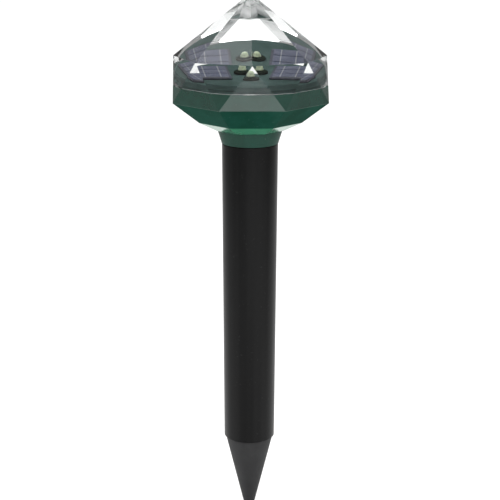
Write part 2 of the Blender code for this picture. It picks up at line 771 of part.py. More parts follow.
def make_speaker(frame_finish, magnet_finish, cone_finish):
    rim_r = HOLDER_R
    rim_inner = CONE_R + GAP
    flange_top = Z_SPEAKER + SPEAKER_FLANGE
    hub_low = Z_SPEAKER_TOP - SPEAKER_SHEET
    outline = [
        (rim_inner, Z_SPEAKER),
        (rim_r, Z_SPEAKER),
        (rim_r, flange_top),
        (rim_inner + SPEAKER_SHEET, flange_top),
        (SPEAKER_HUB_R, Z_SPEAKER_TOP),
        (COIL_HOLE_R, Z_SPEAKER_TOP),
        (COIL_HOLE_R, hub_low),
        (SPEAKER_HUB_R - SPEAKER_SHEET, hub_low),
        (rim_inner, Z_SPEAKER + 0.7 * SPEAKER_FLANGE),
    ]
    add_object("speaker_frame", lathe(outline, MEDIUM), frame_finish)
    add_object("speaker_magnet", disc(MAGNET_R, Z_MAGNET, Z_MAGNET_TOP), magnet_finish)
    deep = hub_low - GAP - CONE_SHEET
    neck = 0.4 * CONE_R
    cone = [
        (0.0, Z_SPEAKER + 0.5 * SPEAKER_HEIGHT),
        (0.6 * neck, Z_SPEAKER + 0.6 * SPEAKER_HEIGHT),
        (neck, deep - CONE_SHEET),
        (CONE_R, Z_SPEAKER),
        (CONE_R, Z_SPEAKER + CONE_SHEET),
        (neck, deep),
        (0.6 * neck, Z_SPEAKER + 0.6 * SPEAKER_HEIGHT + CONE_SHEET),
        (0.0, Z_SPEAKER + 0.5 * SPEAKER_HEIGHT + CONE_SHEET),
    ]
    add_object("speaker_cone", lathe(cone, MEDIUM), cone_finish)


def make_speaker_cap(finish):
    """Open ring with a cross of ribs; its spigot holds the sounder up in the plug."""
    low = Z_CAP_TOP - CAP_THICK
    spigot_inner = CAP_MOUTH_R + CAP_RIB
    outline = [
        (CAP_MOUTH_R, low),
        (PLUG_R - 0.5 * CAP_THICK, low),
        (PLUG_R, low + 0.5 * CAP_THICK),
        (PLUG_R, Z_CAP_TOP),
        (HOLDER_R, Z_CAP_TOP),
        (HOLDER_R, Z_CAP_SPIGOT - GAP),
        (spigot_inner, Z_CAP_SPIGOT - GAP),
        (spigot_inner, Z_CAP_TOP),
        (CAP_MOUTH_R, Z_CAP_TOP),
    ]
    cap = add_object("speaker_cap", lathe(outline, FINE), finish)
    reach = CAP_MOUTH_R + 0.5 * CAP_RIB
    half = 0.5 * CAP_RIB
    rib_low = low + 0.2 * CAP_THICK
    rib_high = Z_CAP_TOP - 0.2 * CAP_THICK
    join(cap, box((-reach, -half, rib_low), (reach, half, rib_high)))
    join(cap, box((-half, -reach, rib_low), (half, reach, rib_high)))


def make_plug_leads(red, black, plain):
    """Leads that climb inside the plug and pass its top hole to the board."""
    through = Z_PLUG_TOP - BOSS_HEIGHT
    board_end = Z_BOARD - GAP
    hole = 0.5 * WIRE_HOLE_R
    speaker_end = Z_SPEAKER_TOP + GAP + LEAD_R
    spread = 3.0 * LEAD_R
    for name, side, finish in (("speaker_lead_1", -1.0, red), ("speaker_lead_2", 1.0, black)):
        x = side * spread
        points = [
            (x, MAGNET_R + spread, speaker_end),
            (x, LEAD_BACK + spread, speaker_end + spread),
            (x, LEAD_BACK + spread, through - LEAD_BACK),
            (x, hole, through),
            (x, hole, board_end),
        ]
        lead(name, points, LEAD_R, finish)
    start = Z_HOLDER_TOP + GAP + LEAD_R
    for name, side, finish in (("battery_lead_1", -1.0, red), ("battery_lead_2", 1.0, black)):
        points = [
            (side * CELL_PLACE, 0.0, start),
            (side * CELL_PLACE, 0.0, start + LEAD_BACK),
            (side * spread, 0.0, through),
            (side * spread, 0.0, board_end),
        ]
        lead(name, points, LEAD_R, finish)
    clip = SWITCH_BACK + GAP + LEAD_R
    points = [
        (0.0, clip, Z_SWITCH + LEAD_BACK),
        (0.0, clip, through - spread),
        (0.0, -hole, through + spread),
        (0.0, -hole, board_end),
    ]
    lead("switch_lead", points, LEAD_R, plain)


# finishes: colour, roughness, metallic, transmission
CLEAR = ((0.92, 0.95, 0.94), 0.03, 0.0, 1.0)
GREEN = ((0.018, 0.100, 0.066), 0.28)
DECK_GREEN = ((0.060, 0.110, 0.095), 0.45)
TUBE_BLACK = ((0.017, 0.017, 0.018), 0.34)
SPIKE_GREY = ((0.040, 0.040, 0.041), 0.60)
PLUG_BLACK = ((0.012, 0.012, 0.013), 0.42)
RUBBER = ((0.010, 0.010, 0.010), 0.75)
SILICONE = ((0.800, 0.800, 0.780), 0.45)
PANEL_BACK = ((0.075, 0.080, 0.095), 0.30)
SILICON = ((0.030, 0.036, 0.065), 0.16)
LENS = ((0.62, 0.70, 0.48), 0.12)
BEZEL_BLACK = ((0.020, 0.026, 0.020), 0.38)
BOARD_GREEN = ((0.020, 0.140, 0.050), 0.45)
CHIP_BLACK = ((0.015, 0.015, 0.016), 0.50)
CAN_BLUE = ((0.020, 0.035, 0.120), 0.35)
COPPER = ((0.550, 0.220, 0.090), 0.35, 1.0)
STEEL = ((0.560, 0.560, 0.550), 0.30, 1.0)
TIN = ((0.640, 0.640, 0.620), 0.28, 1.0)
FERRITE = ((0.060, 0.060, 0.062), 0.50)
CONE_BLACK = ((0.022, 0.020, 0.018), 0.80)
WRAP_GREEN = ((0.035, 0.230, 0.110), 0.30)
WIRE_RED = ((0.420, 0.015, 0.012), 0.45)
WIRE_BLACK = ((0.012, 0.012, 0.012), 0.45)
WIRE_YELLOW = ((0.560, 0.400, 0.020), 0.45)
KNOB_WHITE = ((0.600, 0.600, 0.580), 0.40)


def main():
    clear_scene()
    make_ground_spike(SPIKE_GREY)
    make_stake_tube(TUBE_BLACK)
    make_head_base(GREEN)
    make_crystal_dome(CLEAR)
    make_dome_gasket(SILICONE)
    make_panel_deck(DECK_GREEN)
    for number, middle in panel_sides():
        make_solar_panel(number, middle, PANEL_BACK)
        make_solar_cells(number, middle, SILICON)
    make_led_bezel(BEZEL_BLACK)
    make_flash_led(LENS)
    make_led_legs(TIN)
    make_panel_leads((WIRE_RED, WIRE_BLACK))
    make_circuit_board(BOARD_GREEN)
    make_board_parts(CHIP_BLACK, CAN_BLUE, COPPER)
    make_screws(STEEL)
    make_neck_plug(PLUG_BLACK)
    make_neck_o_ring(RUBBER)
    make_switch(CHIP_BLACK, KNOB_WHITE)
    make_battery_holder(PLUG_BLACK)
    make_battery_cells(WRAP_GREEN)
    make_contact_springs(TIN)
    make_contact_plates(TIN)
    make_speaker(STEEL, FERRITE, CONE_BLACK)
    make_speaker_cap(PLUG_BLACK)
    make_plug_leads(WIRE_RED, WIRE_BLACK, WIRE_YELLOW)


main()
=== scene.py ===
import json
import math

import bpy
import numpy as np
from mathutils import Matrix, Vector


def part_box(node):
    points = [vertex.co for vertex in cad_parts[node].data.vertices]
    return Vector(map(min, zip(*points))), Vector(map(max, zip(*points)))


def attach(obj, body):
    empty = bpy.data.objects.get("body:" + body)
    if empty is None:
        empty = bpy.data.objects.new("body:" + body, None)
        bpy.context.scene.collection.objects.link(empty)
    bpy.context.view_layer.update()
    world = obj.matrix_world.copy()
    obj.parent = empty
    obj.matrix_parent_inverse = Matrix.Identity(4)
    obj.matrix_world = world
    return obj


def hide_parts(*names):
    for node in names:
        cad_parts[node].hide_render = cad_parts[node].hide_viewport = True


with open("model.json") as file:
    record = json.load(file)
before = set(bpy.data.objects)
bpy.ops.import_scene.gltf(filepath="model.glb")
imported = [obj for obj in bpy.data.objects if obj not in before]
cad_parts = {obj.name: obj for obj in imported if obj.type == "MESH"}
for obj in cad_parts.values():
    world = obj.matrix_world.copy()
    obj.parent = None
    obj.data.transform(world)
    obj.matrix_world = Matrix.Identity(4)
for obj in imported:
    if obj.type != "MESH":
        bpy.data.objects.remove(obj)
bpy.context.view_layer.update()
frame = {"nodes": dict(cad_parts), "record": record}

scene = bpy.context.scene
cadNodes = frame["nodes"]
slotOf = {part["node"]: part["material_slot"] for part in frame["record"]["subparts"]}


def putMesh(name, points, faces):
    # points: an (n, 3) array; faces: lists of corner numbers, wound so that they point outwards
    mesh = bpy.data.meshes.new(name)
    mesh.from_pydata(points.tolist(), [], faces)
    mesh.polygons.foreach_set("use_smooth", np.full(len(mesh.polygons), True))
    piece = bpy.data.objects.new(name, mesh)
    scene.collection.objects.link(piece)
    return piece


def woven(name, rows):
    # closed skin over a grid P(k, j): row k joins row k + 1, the last row joins the first, and every row
    # closes on itself; points that fall together become one, so a row of equal points is a pole
    rows = np.asarray(rows, float)
    points = rows.reshape(-1, 3)
    kept, numbers = np.unique(np.round(points, 8), axis=0, return_index=True, return_inverse=True)[1:]
    low = numbers.reshape(rows.shape[:2])
    high = np.roll(low, -1, axis=0)
    quads = np.stack([low, np.roll(low, -1, axis=1), np.roll(high, -1, axis=1), high], axis=-1)
    faces = [list(dict.fromkeys(quad)) for quad in quads.reshape(-1, 4).tolist()]
    return putMesh(name, points[kept], [face for face in faces if len(face) > 2])


def roundCorners(outline, radius, steps=4):
    # each corner P gives way to the arc (1-t)^2 (P + r a) + 2 t (1-t) P + t^2 (P + r b), where a and b
    # point along its two sides and r is at most 0.45 of the shorter side; points on the axis stay sharp
    outline = np.asarray(outline, float)
    before = np.roll(outline, 1, axis=0) - outline
    after = np.roll(outline, -1, axis=0) - outline
    longBefore = np.linalg.norm(before, axis=1)
    longAfter = np.linalg.norm(after, axis=1)
    reach = np.minimum(radius, 0.45 * np.minimum(longBefore, longAfter))[:, None]
    start = outline + before / longBefore[:, None] * reach
    end = outline + after / longAfter[:, None] * reach
    t = np.linspace(0.0, 1.0, steps + 1)[None, :, None]
    arcs = (1 - t) ** 2 * start[:, None] + 2 * t * (1 - t) * outline[:, None] + t ** 2 * end[:, None]
    arcs[outline[:, 0] < 1e-7] = outline[outline[:, 0] < 1e-7][:, None]
    flat = arcs.reshape(-1, 2)
    return flat[np.linalg.norm(flat - np.roll(flat, 1, axis=0), axis=1) > 1e-9]


def turned(name, outline, count=160, corner=0.0, centre=(0.0, 0.0)):
    # lathe: P(k, u) = (cx + R_k sin u, cy - R_k cos u, Z_k) for a closed outline (R, Z) that runs up the
    # outside and down the inside
    outline = roundCorners(outline, corner) if corner else np.asarray(outline, float)
    u = np.arange(count) * 2 * math.pi / count
    radius = outline[:, :1]
    height = np.repeat(outline[:, 1:], count, axis=1)
    rows = [centre[0] + radius * np.sin(u), centre[1] - radius * np.cos(u), height]
    return woven(name, np.stack(rows, axis=-1))


def tile(name, low, high, corner, rim, steps=6):
    # flat block with round corners: its plan is P(a) = middle + (half - c) (sign cos a, sign sin a)
    # + c (cos a, sin a), carried up the profile (c - r, low), (c, low + r), (c, high - r), (c - r, high)
    # and closed by poles
    middle = 0.5 * (low + high)
    half = 0.5 * (high - low)
    angle = (np.arange(4)[:, None] * 90 + np.linspace(0, 90, steps)[None, :]) * math.pi / 180
    signs = np.stack([[1, -1, -1, 1], [1, 1, -1, -1]], axis=-1)[:, None]
    core = np.repeat(signs * (half[:2] - corner), steps, axis=1)
    unit = np.stack([np.cos(angle), np.sin(angle)], axis=-1)
    profile = [(0.0, low[2], 0.0), (corner - rim, low[2], 1.0), (corner, low[2] + rim, 1.0),
               (corner, high[2] - rim, 1.0), (corner - rim, high[2], 1.0), (0.0, high[2], 0.0)]
    rows = []
    for reach, height, spread in profile:
        plan = (core * spread + unit * reach).reshape(-1, 2) + middle[:2]
        rows.append(np.column_stack([plan, np.full(len(plan), height)]))
    return woven(name, rows)


def softEdges(piece, width, angle=8.0, segments=3):
    # rounds every edge that bends by more than the angle, and keeps the facets flat
    bevel = piece.modifiers.new("soft edges", "BEVEL")
    bevel.width = width
    bevel.segments = segments
    bevel.limit_method = "ANGLE"
    bevel.angle_limit = math.radians(angle)
    bevel.harden_normals = True
    return piece


def dressed(piece, node, body, finish, hide=True):
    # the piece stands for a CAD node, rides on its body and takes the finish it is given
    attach(piece, body)
    if hide:
        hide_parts(node)
    piece.data.materials.append(finish)
    return piece


class Sum:
    # wraps one socket, so that shader maths reads as plain sums
    def __init__(self, bench, socket):
        self.bench = bench
        self.socket = socket

    def maths(self, operation, *values):
        return self.bench.add("ShaderNodeMath", {"operation": operation}, values)

    def __add__(self, other): return self.maths("ADD", self, other)
    def __radd__(self, other): return self.maths("ADD", other, self)
    def __sub__(self, other): return self.maths("SUBTRACT", self, other)
    def __rsub__(self, other): return self.maths("SUBTRACT", other, self)
    def __mul__(self, other): return self.maths("MULTIPLY", self, other)
    def __rmul__(self, other): return self.maths("MULTIPLY", other, self)
    def __truediv__(self, other): return self.maths("DIVIDE", self, other)
    def __rtruediv__(self, other): return self.maths("DIVIDE", other, self)
    def below(self, edge): return self.maths("LESS_THAN", self, edge)
    def larger(self, other): return self.maths("MAXIMUM", self, other)
    def fraction(self): return self.maths("FRACT", self)
    def size(self): return self.maths("ABSOLUTE", self)

    def ramp(self, low, high):
        # 0 up to low, 1 from high on, smooth between
        inputs = {"Value": self, "From Min": low, "From Max": high}
        return self.bench.add("ShaderNodeMapRange", {"interpolation_type": "SMOOTHSTEP"}, inputs)


class Finish:
    # one material: add makes any node, feed fills a socket and shine sets the shader's sockets
    def __init__(self, name):
        self.material = bpy.data.materials.new(name)
        self.material.use_nodes = True
        self.nodes = self.material.node_tree.nodes
        self.links = self.material.node_tree.links
        self.shader = self.nodes["Principled BSDF"]
        self.place = self.add("ShaderNodeTexCoord", out="Object")

    def add(self, kind, settings=None, inputs=None, out=0):
        node = self.nodes.new(kind)
        for key, value in (settings or {}).items():
            setattr(node, key, value)
        pairs = inputs.items() if isinstance(inputs, dict) else enumerate(inputs or ())
        for key, value in pairs:
            self.feed(node.inputs[key], value)
        return Sum(self, node.outputs[out])

    def feed(self, socket, value):
        if isinstance(value, Sum):
            self.links.new(value.socket, socket)
        elif socket.type == "RGBA" and len(value) == 3:
            socket.default_value = (*value, 1.0)
        else:
            socket.default_value = value

    def moved(self, centre=(0.0, 0.0, 0.0), stretch=(1.0, 1.0, 1.0)):
        # Object coordinates less the centre, times the stretch
        shift = tuple(-c * s for c, s in zip(centre, stretch))
        inputs = {"Vector": self.place, "Location": shift, "Scale": stretch}
        return self.add("ShaderNodeMapping", {}, inputs)

    def parts(self, place):
        first = self.add("ShaderNodeSeparateXYZ", {}, [place])
        return [Sum(self, output) for output in first.socket.node.outputs]

    def noise(self, scale, detail=3.0, roughness=0.55, place=None):
        inputs = {"Vector": place or self.place, "Scale": scale, "Detail": detail,
                  "Roughness": roughness}
        return self.add("ShaderNodeTexNoise", {}, inputs)

    def mix(self, share, first, second):
        return self.add("ShaderNodeMix", {"data_type": "RGBA"}, {0: share, 6: first, 7: second}, out=2)

    def bump(self, height, strength, distance, under=None):
        inputs = {"Height": height, "Strength": strength, "Distance": distance}
        if under is not None:
            inputs["Normal"] = under
        return self.add("ShaderNodeBump", {}, inputs)

    def shine(self, **sockets):
        for key, value in sockets.items():
            self.feed(self.shader.inputs[key.replace("_", " ")], value)
        return self.material


def mouldedPlastic(name, look):
    # cloudy colour, uneven gloss, orange peel, fine grain, draw lines up the stake and a few dull specks
    f = Finish(name)
    cloud = f.noise(look["cloud"], 4.0, 0.6)
    peel = f.noise(look["peel"], 2.0, 0.5)
    grain = f.noise(look["grain"], 2.0, 0.6)
    lines = f.noise(look["lines"], 2.0, 0.7, f.moved(stretch=(1.0, 1.0, 0.02)))
    specks = f.noise(look["specks"], 1.0, 0.4).ramp(0.70, 0.78)
    streaks = f.noise(look["streaks"], 1.0, 0.5, f.moved(stretch=(1.0, 1.0, 0.01)))
    tone = cloud * (1 - look["streakShare"]) + streaks * look["streakShare"]
    colour = f.mix(tone.ramp(0.32, 0.70), look["deep"], look["pale"])
    colour = f.mix(specks * look["speckShare"], colour, look["dust"])
    rough = look["rough"] + (cloud - 0.5) * look["roughSwing"] + (grain - 0.5) * 0.08 + specks * 0.15
    rough = rough + (lines - 0.5) * look["lineRough"]
    normal = f.bump(peel, look["peelBump"], 0.0004)
    normal = f.bump(grain, look["grainBump"], 0.0001, normal)
    normal = f.bump(lines, look["lineBump"], 0.0001, normal)
    f.shine(Base_Color=colour, Roughness=rough, Normal=normal, IOR=1.49,
            Specular_IOR_Level=look["specular"])
    return f


def innerFinish(name, colour, rough, metal=0.0, specular=0.5, scale=400.0):
    # small pieces: one tone with mottled colour and gloss
    f = Finish(name)
    mottle = f.noise(scale, 3.0, 0.6)
    base = f.mix(mottle.ramp(0.35, 0.70), tuple(0.72 * value for value in colour), colour)
    return f.shine(Base_Color=base, Roughness=rough + (mottle - 0.5) * 0.15, Metallic=metal,
                   Normal=f.bump(mottle, 0.1, 0.0001), Specular_IOR_Level=specular)


# the head's main sizes are the CAD model's, in metres
head = {
    "facets": 8,
    "turn": math.radians(1.5),
    "girdleRadius": 0.058, "girdleHeight": 0.3125,
    "upperRadius": 0.0535, "upperHeight": 0.3425,
    "apexHeight": 0.385, "footHeight": 0.3238, "rimHeight": 0.3235,
    "tierRadius": 0.0385, "tierHeight": 0.2975,
    "neckRadius": 0.02325, "neckHeight": 0.291,
    "collarRadius": 0.02015, "collarHeight": 0.281,
    "deckRadius": 0.043, "deckTop": 0.3273, "deckLow": 0.3213,
    "columns": 12,        # strips per facet side
}
cornerAngle = head["turn"] + (np.arange(head["facets"]) + 0.5) * 2 * math.pi / head["facets"]


def around(radius, angle, height):
    # P(a) = (R sin a, -R cos a, z), so that a = 0 faces the front
    rise = np.full(np.shape(angle), height)
    return np.stack([radius * np.sin(angle), -radius * np.cos(angle), rise], axis=-1)


def sides(corners):
    # closed ring through 16 corners: P(i, t) = (1 - t) C_i + t C_(i+1), t = 0 to 1 in equal strips
    t = np.arange(head["columns"])[None, :, None] / head["columns"]
    return ((1 - t) * corners[:, None] + t * np.roll(corners, -1, axis=0)[:, None]).reshape(-1, 3)


def facetRing(radius, height):
    # eight-sided ring, each corner counted twice
    return sides(np.repeat(around(radius, cornerAngle, height), 2, axis=0))


def wallRing(height, inset=0.0):
    # section of the wall of triangles: C = (1 - s) G + s U for each lower corner G and its two upper
    # neighbours U, drawn in by an inset
    share = (height - head["girdleHeight"]) / (head["upperHeight"] - head["girdleHeight"])
    step = math.pi / head["facets"]
    low = around(head["girdleRadius"], cornerAngle, height)
    before = around(head["upperRadius"], cornerAngle - step, height)
    after = around(head["upperRadius"], cornerAngle + step, height)
    corners = np.stack([(1 - share) * low + share * upper for upper in (before, after)], axis=1)
    corners = corners.reshape(-1, 3)
    scale = 1 - inset / np.hypot(corners[:, 0], corners[:, 1]).min()
    return sides(corners * [scale, scale, 1.0])


def roundRing(radius, height):
    # circle whose points face those of the eight-sided rings
    count = 2 * head["facets"] * head["columns"]
    first = cornerAngle[0] - 0.5 * math.pi / head["facets"]
    return around(radius, first + np.arange(count) * 2 * math.pi / count, height)


# clear crown, a solid block that is cast over the deck
crown = {
    "edge": 0.0002,       # width of the polished edges
    "tint": (0.900, 0.912, 0.908),
    "rough": 0.035,
    "haze": 0.05,         # roughness added by handling marks
    "ripple": 0.22, "rippleScale": 55.0,
    "ior": 1.40,
}


def crownBlock():
    # solid skin whose rows are a pole under the foot, the wall's section at the foot, the upper ring and
    # the apex; the upper ring's 16 corners are 8 corners counted twice
    step = math.pi / head["facets"]
    upper = around(head["upperRadius"], cornerAngle - step, head["upperHeight"])
    upper = sides(np.stack([upper, np.roll(upper, -1, axis=0)], axis=1).reshape(-1, 3))
    foot = wallRing(head["footHeight"])
    rows = [foot * [0.0, 0.0, 1.0], foot, upper, foot * 0.0 + [0.0, 0.0, head["apexHeight"]]]
    return softEdges(woven("crownBlock", rows), crown["edge"])


def crownFinish():
    # clear resin with slow ripples from the mould and hazy patches from handling
    f = Finish("polished clear resin")
    handling = f.noise(90.0, 5.0, 0.7).ramp(0.55, 0.85)
    ripple = f.noise(crown["rippleScale"], 1.0, 0.4)
    return f.shine(Base_Color=crown["tint"], Roughness=crown["rough"] + handling * crown["haze"],
                   Normal=f.bump(ripple, crown["ripple"], 0.0004), Transmission_Weight=1.0,
                   IOR=crown["ior"])


dressed(crownBlock(), "crystal_dome", "head", crownFinish())
print("crown done")


# green bowl and its collar
bowl = {
    "edge": 0.00045,      # width of the rounded edges
    "wall": 0.003, "lip": 0.0012, "rebate": 0.0008, "ledge": 0.0025, "shelf": 0.002,
    "play": 0.0003,       # gap round the deck and the plug, and under the board
    "floorRadius": 0.0205, "floorThick": 0.003,
    "wireHole": 0.0045,
    "postRadius": 0.0026, "postTopRadius": 0.0024, "postBore": 0.0013, "postSunk": 0.0005,
    "look": {"deep": (0.0070, 0.041, 0.027), "pale": (0.0105, 0.057, 0.040), "dust": (0.08, 0.13, 0.11),
             "cloud": 45.0, "peel": 900.0, "grain": 4200.0, "lines": 160.0, "streaks": 120.0,
             "streakShare": 0.2, "specks": 700.0, "speckShare": 0.25, "rough": 0.20, "roughSwing": 0.12,
             "lineRough": 0.04, "peelBump": 0.10, "grainBump": 0.05, "lineBump": 0.04, "specular": 0.0},
    # painted light: the lower tier's colours are paler to stand for the floor's reflection and bounced
    # light
    "paintedLightLowerDeep": (0.034, 0.180, 0.098), "paintedLightLowerPale": (0.046, 0.215, 0.122),
    "polish": 1.0, "mattPolish": 0.03, "collarPolish": 0.25, "polishRough": 0.12, "polishIor": 1.67,
}


def bowlShell():
    # rows up the outside from the collar through neck, tier, girdle and wall to the rim, then down the
    # inside over the shelf to the floor, through the wire hole and down the collar's bore
    h = head
    b = bowl
    ledge = h["deckLow"] - b["play"]
    shelf = ledge - b["shelf"]
    floor = h["neckHeight"] + b["floorThick"]
    seat = h["rimHeight"] - b["rebate"]
    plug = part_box("neck_plug")[1].x + b["play"]
    inward = b["wall"] / math.cos(math.pi / h["facets"])
    rows = [
        roundRing(h["collarRadius"], h["collarHeight"]),
        roundRing(h["neckRadius"], h["neckHeight"]),
        facetRing(h["neckRadius"] / math.cos(math.pi / h["facets"]), h["neckHeight"]),
        facetRing(h["tierRadius"], h["tierHeight"]),
        facetRing(h["girdleRadius"], h["girdleHeight"]),
        wallRing(h["rimHeight"]),
        wallRing(h["rimHeight"], b["lip"]),
        wallRing(seat, b["lip"]),
        roundRing(h["deckRadius"] + b["play"], seat),
        roundRing(h["deckRadius"] + b["play"], ledge),
        roundRing(h["deckRadius"] - b["ledge"], ledge),
        roundRing(h["deckRadius"] - b["ledge"], shelf),
        wallRing(shelf, b["wall"]),
        facetRing(h["girdleRadius"] - inward, h["girdleHeight"]),
        facetRing(h["tierRadius"] - 0.3 * b["wall"], h["tierHeight"] + b["wall"]),
        roundRing(b["floorRadius"], floor),
        roundRing(b["wireHole"], floor),
        roundRing(b["wireHole"], h["neckHeight"]),
        roundRing(plug, h["neckHeight"]),
        roundRing(plug, h["collarHeight"]),
    ]
    return softEdges(woven("bowlShell", rows), b["edge"])


def bowlFinish():
    # the wall and the lower tier are polished, the upper tier and the collar are nearly matt; the lower
    # tier's colour is painted light, painted paler to stand for the floor's reflection and the light
    # bounced up from it
    f = mouldedPlastic("bowl green", bowl["look"])
    height = f.parts(f.place)[2]
    soft = bowl["edge"]
    wall = height.ramp(head["girdleHeight"] - soft, head["girdleHeight"] + soft)
    aboveNeck = height.ramp(head["neckHeight"], head["neckHeight"] + soft)
    lower = aboveNeck - height.ramp(head["tierHeight"] - soft, head["tierHeight"] + soft)
    cloud = f.noise(bowl["look"]["cloud"], 4.0, 0.6).ramp(0.30, 0.72)
    moulded = Sum(f, f.shader.inputs["Base Color"].links[0].from_socket)
    # the lower tier takes the paler colours, painted light from the floor below
    colour = f.mix(lower, moulded, f.mix(cloud, bowl["paintedLightLowerDeep"], bowl["paintedLightLowerPale"]))
    polish = bowl["mattPolish"] + (wall + lower) * (bowl["polish"] - bowl["mattPolish"])
    polish = polish + (1 - aboveNeck) * (bowl["collarPolish"] - bowl["mattPolish"])
    return f.shine(Base_Color=colour, Coat_Weight=polish, Coat_Roughness=bowl["polishRough"],
                   Coat_IOR=bowl["polishIor"])


def buildBowl():
    # the shell, and four tubes under the board's screws
    finish = bowlFinish()
    dressed(bowlShell(), "head_base", "head", finish)
    foot = head["neckHeight"] + bowl["floorThick"] - bowl["postSunk"]
    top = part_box("circuit_board")[0].z - bowl["play"]
    bore = bowl["postBore"]
    for number in range(1, 5):
        low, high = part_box(f"board_screw_{number}")
        place = ((low.x + high.x) / 2, (low.y + high.y) / 2)
        wall = [(bore, foot), (bowl["postRadius"], foot), (bowl["postTopRadius"], top), (bore, top)]
        post = turned(f"boardPost{number}", wall, 48, 0.0002, place)
        dressed(post, "head_base", "head", finish, hide=False)


buildBowl()
print("bowl done")


# milky seal between bowl and crown, which shows at the apex by way of the crown's back
seal = {"thick": 0.0008, "colour": (0.92, 0.92, 0.92), "rough": 0.45}


def sealRing():
    # flat ring between the wall's section outside and a circle inside
    low = head["rimHeight"] - seal["thick"] + 0.5 * bowl["play"]
    hole = head["deckRadius"] + bowl["play"]
    margin = bowl["lip"] + 0.5 * bowl["play"]
    rows = [wallRing(low, margin), wallRing(head["rimHeight"], margin),
            roundRing(hole, head["rimHeight"]), roundRing(hole, low)]
    return woven("sealRing", rows)


def sealFinish():
    # white with a faint cloud and a fine matt skin
    f = Finish("milky silicone")
    cloud = f.noise(120.0, 3.0, 0.6)
    colour = f.mix(cloud.ramp(0.3, 0.7), tuple(0.93 * value for value in seal["colour"]), seal["colour"])
    return f.shine(Base_Color=colour, Roughness=seal["rough"] + (cloud - 0.5) * 0.2,
                   Normal=f.bump(f.noise(1500.0), 0.1, 0.0001))


dressed(sealRing(), "dome_gasket", "head", sealFinish())


# deck with two panels and the lamp, held in the clear resin, so that their own gloss is gone
deck = {
    "skirt": 0.0025, "thick": 0.0025, "edge": 0.0004,
    "look": {"deep": (0.054, 0.090, 0.083), "pale": (0.082, 0.125, 0.118), "dust": (0.14, 0.18, 0.17),
             "cloud": 60.0, "peel": 900.0, "grain": 3800.0, "lines": 200.0, "streaks": 120.0,
             "streakShare": 0.2, "specks": 800.0, "speckShare": 0.3, "rough": 0.5, "roughSwing": 0.12,
             "lineRough": 0.05, "peelBump": 0.15, "grainBump": 0.1, "lineBump": 0.05, "specular": 0.0},
    "panelCorner": 0.0012, "panelRim": 0.00035, "waferCorner": 0.0006, "waferRim": 0.00008,
    "panelColour": (0.115, 0.120, 0.145),
    "waferDeep": (0.090, 0.099, 0.150), "waferPale": (0.152, 0.163, 0.222),
    "fingerPitch": 0.0016, "fingerWidth": 0.045, "busPlace": 0.0055, "busWidth": 0.0004,
    "metalColour": (0.30, 0.31, 0.33),
    "ringHole": 0.0018, "ringSlope": 0.0006, "ringEdge": 0.0003,
    "ringColour": (0.016, 0.024, 0.017),
    "lensRadius": 0.0025, "lensFlange": 0.0010,
    "lensDeep": (0.50, 0.58, 0.40), "lensPale": (0.66, 0.74, 0.54),
}


def deckPlatform():
    # plate with a skirt that stands on the bowl's shelf
    h = head
    under = h["deckTop"] - deck["thick"]
    skirt = h["deckRadius"] - deck["skirt"]
    outline = [(0.0, under), (skirt, under), (skirt, h["deckLow"]), (h["deckRadius"], h["deckLow"]),
               (h["deckRadius"], h["deckTop"]), (0.0, h["deckTop"])]
    return turned("deckPlatform", outline, 192, deck["edge"])


def waferFinish(name, middle):
    # blue-black crystal grains, thin silver fingers across the panel and two wider bus lines along it
    f = Finish(name)
    x, y = f.parts(f.moved(centre=(middle, 0.0, 0.0)))[:2]
    grains = f.add("ShaderNodeTexVoronoi", {}, {"Vector": f.place, "Scale": 260.0}, out="Color")
    share = f.add("ShaderNodeSeparateColor", {}, [grains])
    cloud = f.noise(70.0, 2.0, 0.5)
    base = f.mix(share * 0.6 + cloud * 0.4, deck["waferDeep"], deck["waferPale"])
    fingers = ((y / deck["fingerPitch"]).fraction() - 0.5).size().below(deck["fingerWidth"])
    buses = (x.size() - deck["busPlace"]).size().below(deck["busWidth"])
    colour = f.mix(fingers.larger(buses), base, deck["metalColour"])
    return f.shine(Base_Color=colour, Roughness=0.35 + cloud * 0.15, Specular_IOR_Level=0.0)


def buildDeck():
    dressed(deckPlatform(), "panel_deck", "head", mouldedPlastic("deck green", deck["look"]).material)
    resin = innerFinish("panel resin", deck["panelColour"], 0.4, 0.0, 0.0)
    for number in (1, 2):
        low, high = (np.array(corner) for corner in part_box(f"solar_panel_{number}"))
        panel = tile(f"panelTile{number}", low, high, deck["panelCorner"], deck["panelRim"])
        dressed(panel, f"solar_panel_{number}", "head", resin)
        wafer = waferFinish(f"silicon wafer {number}", 0.5 * (low[0] + high[0]))
        for row in (1, 2, 3):
            low, high = (np.array(corner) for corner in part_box(f"solar_cell_{number}_{row}"))
            strip = tile(f"waferStrip{number}{row}", low, high, deck["waferCorner"], deck["waferRim"])
            dressed(strip, f"solar_cell_{number}_{row}", "head", wafer)


def lampLens():
    # flange, barrel and dome: (R, Z) = (r cos a, top - r + r sin a) for a = 0 to 90 degrees
    low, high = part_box("flash_led")
    r = deck["lensRadius"]
    step = low.z + deck["lensFlange"]
    a = np.linspace(0.0, math.pi / 2, 17)
    dome = np.column_stack([r * np.cos(a), high.z - r + r * np.sin(a)])
    dome[-1, 0] = 0.0
    foot = [(0.0, low.z), (high.x, low.z), (high.x, step), (r, step)]
    return turned("lampLens", np.concatenate([foot, dome]), 96)


def lampRing():
    # flat ring round the lamp whose upper edge slopes outwards
    low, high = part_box("led_bezel")
    hole = deck["ringHole"]
    outline = [(hole, low.z), (high.x, low.z), (high.x, high.z - deck["ringSlope"]),
               (0.8 * high.x, high.z), (hole, high.z)]
    return turned("lampRing", outline, 128, deck["ringEdge"])


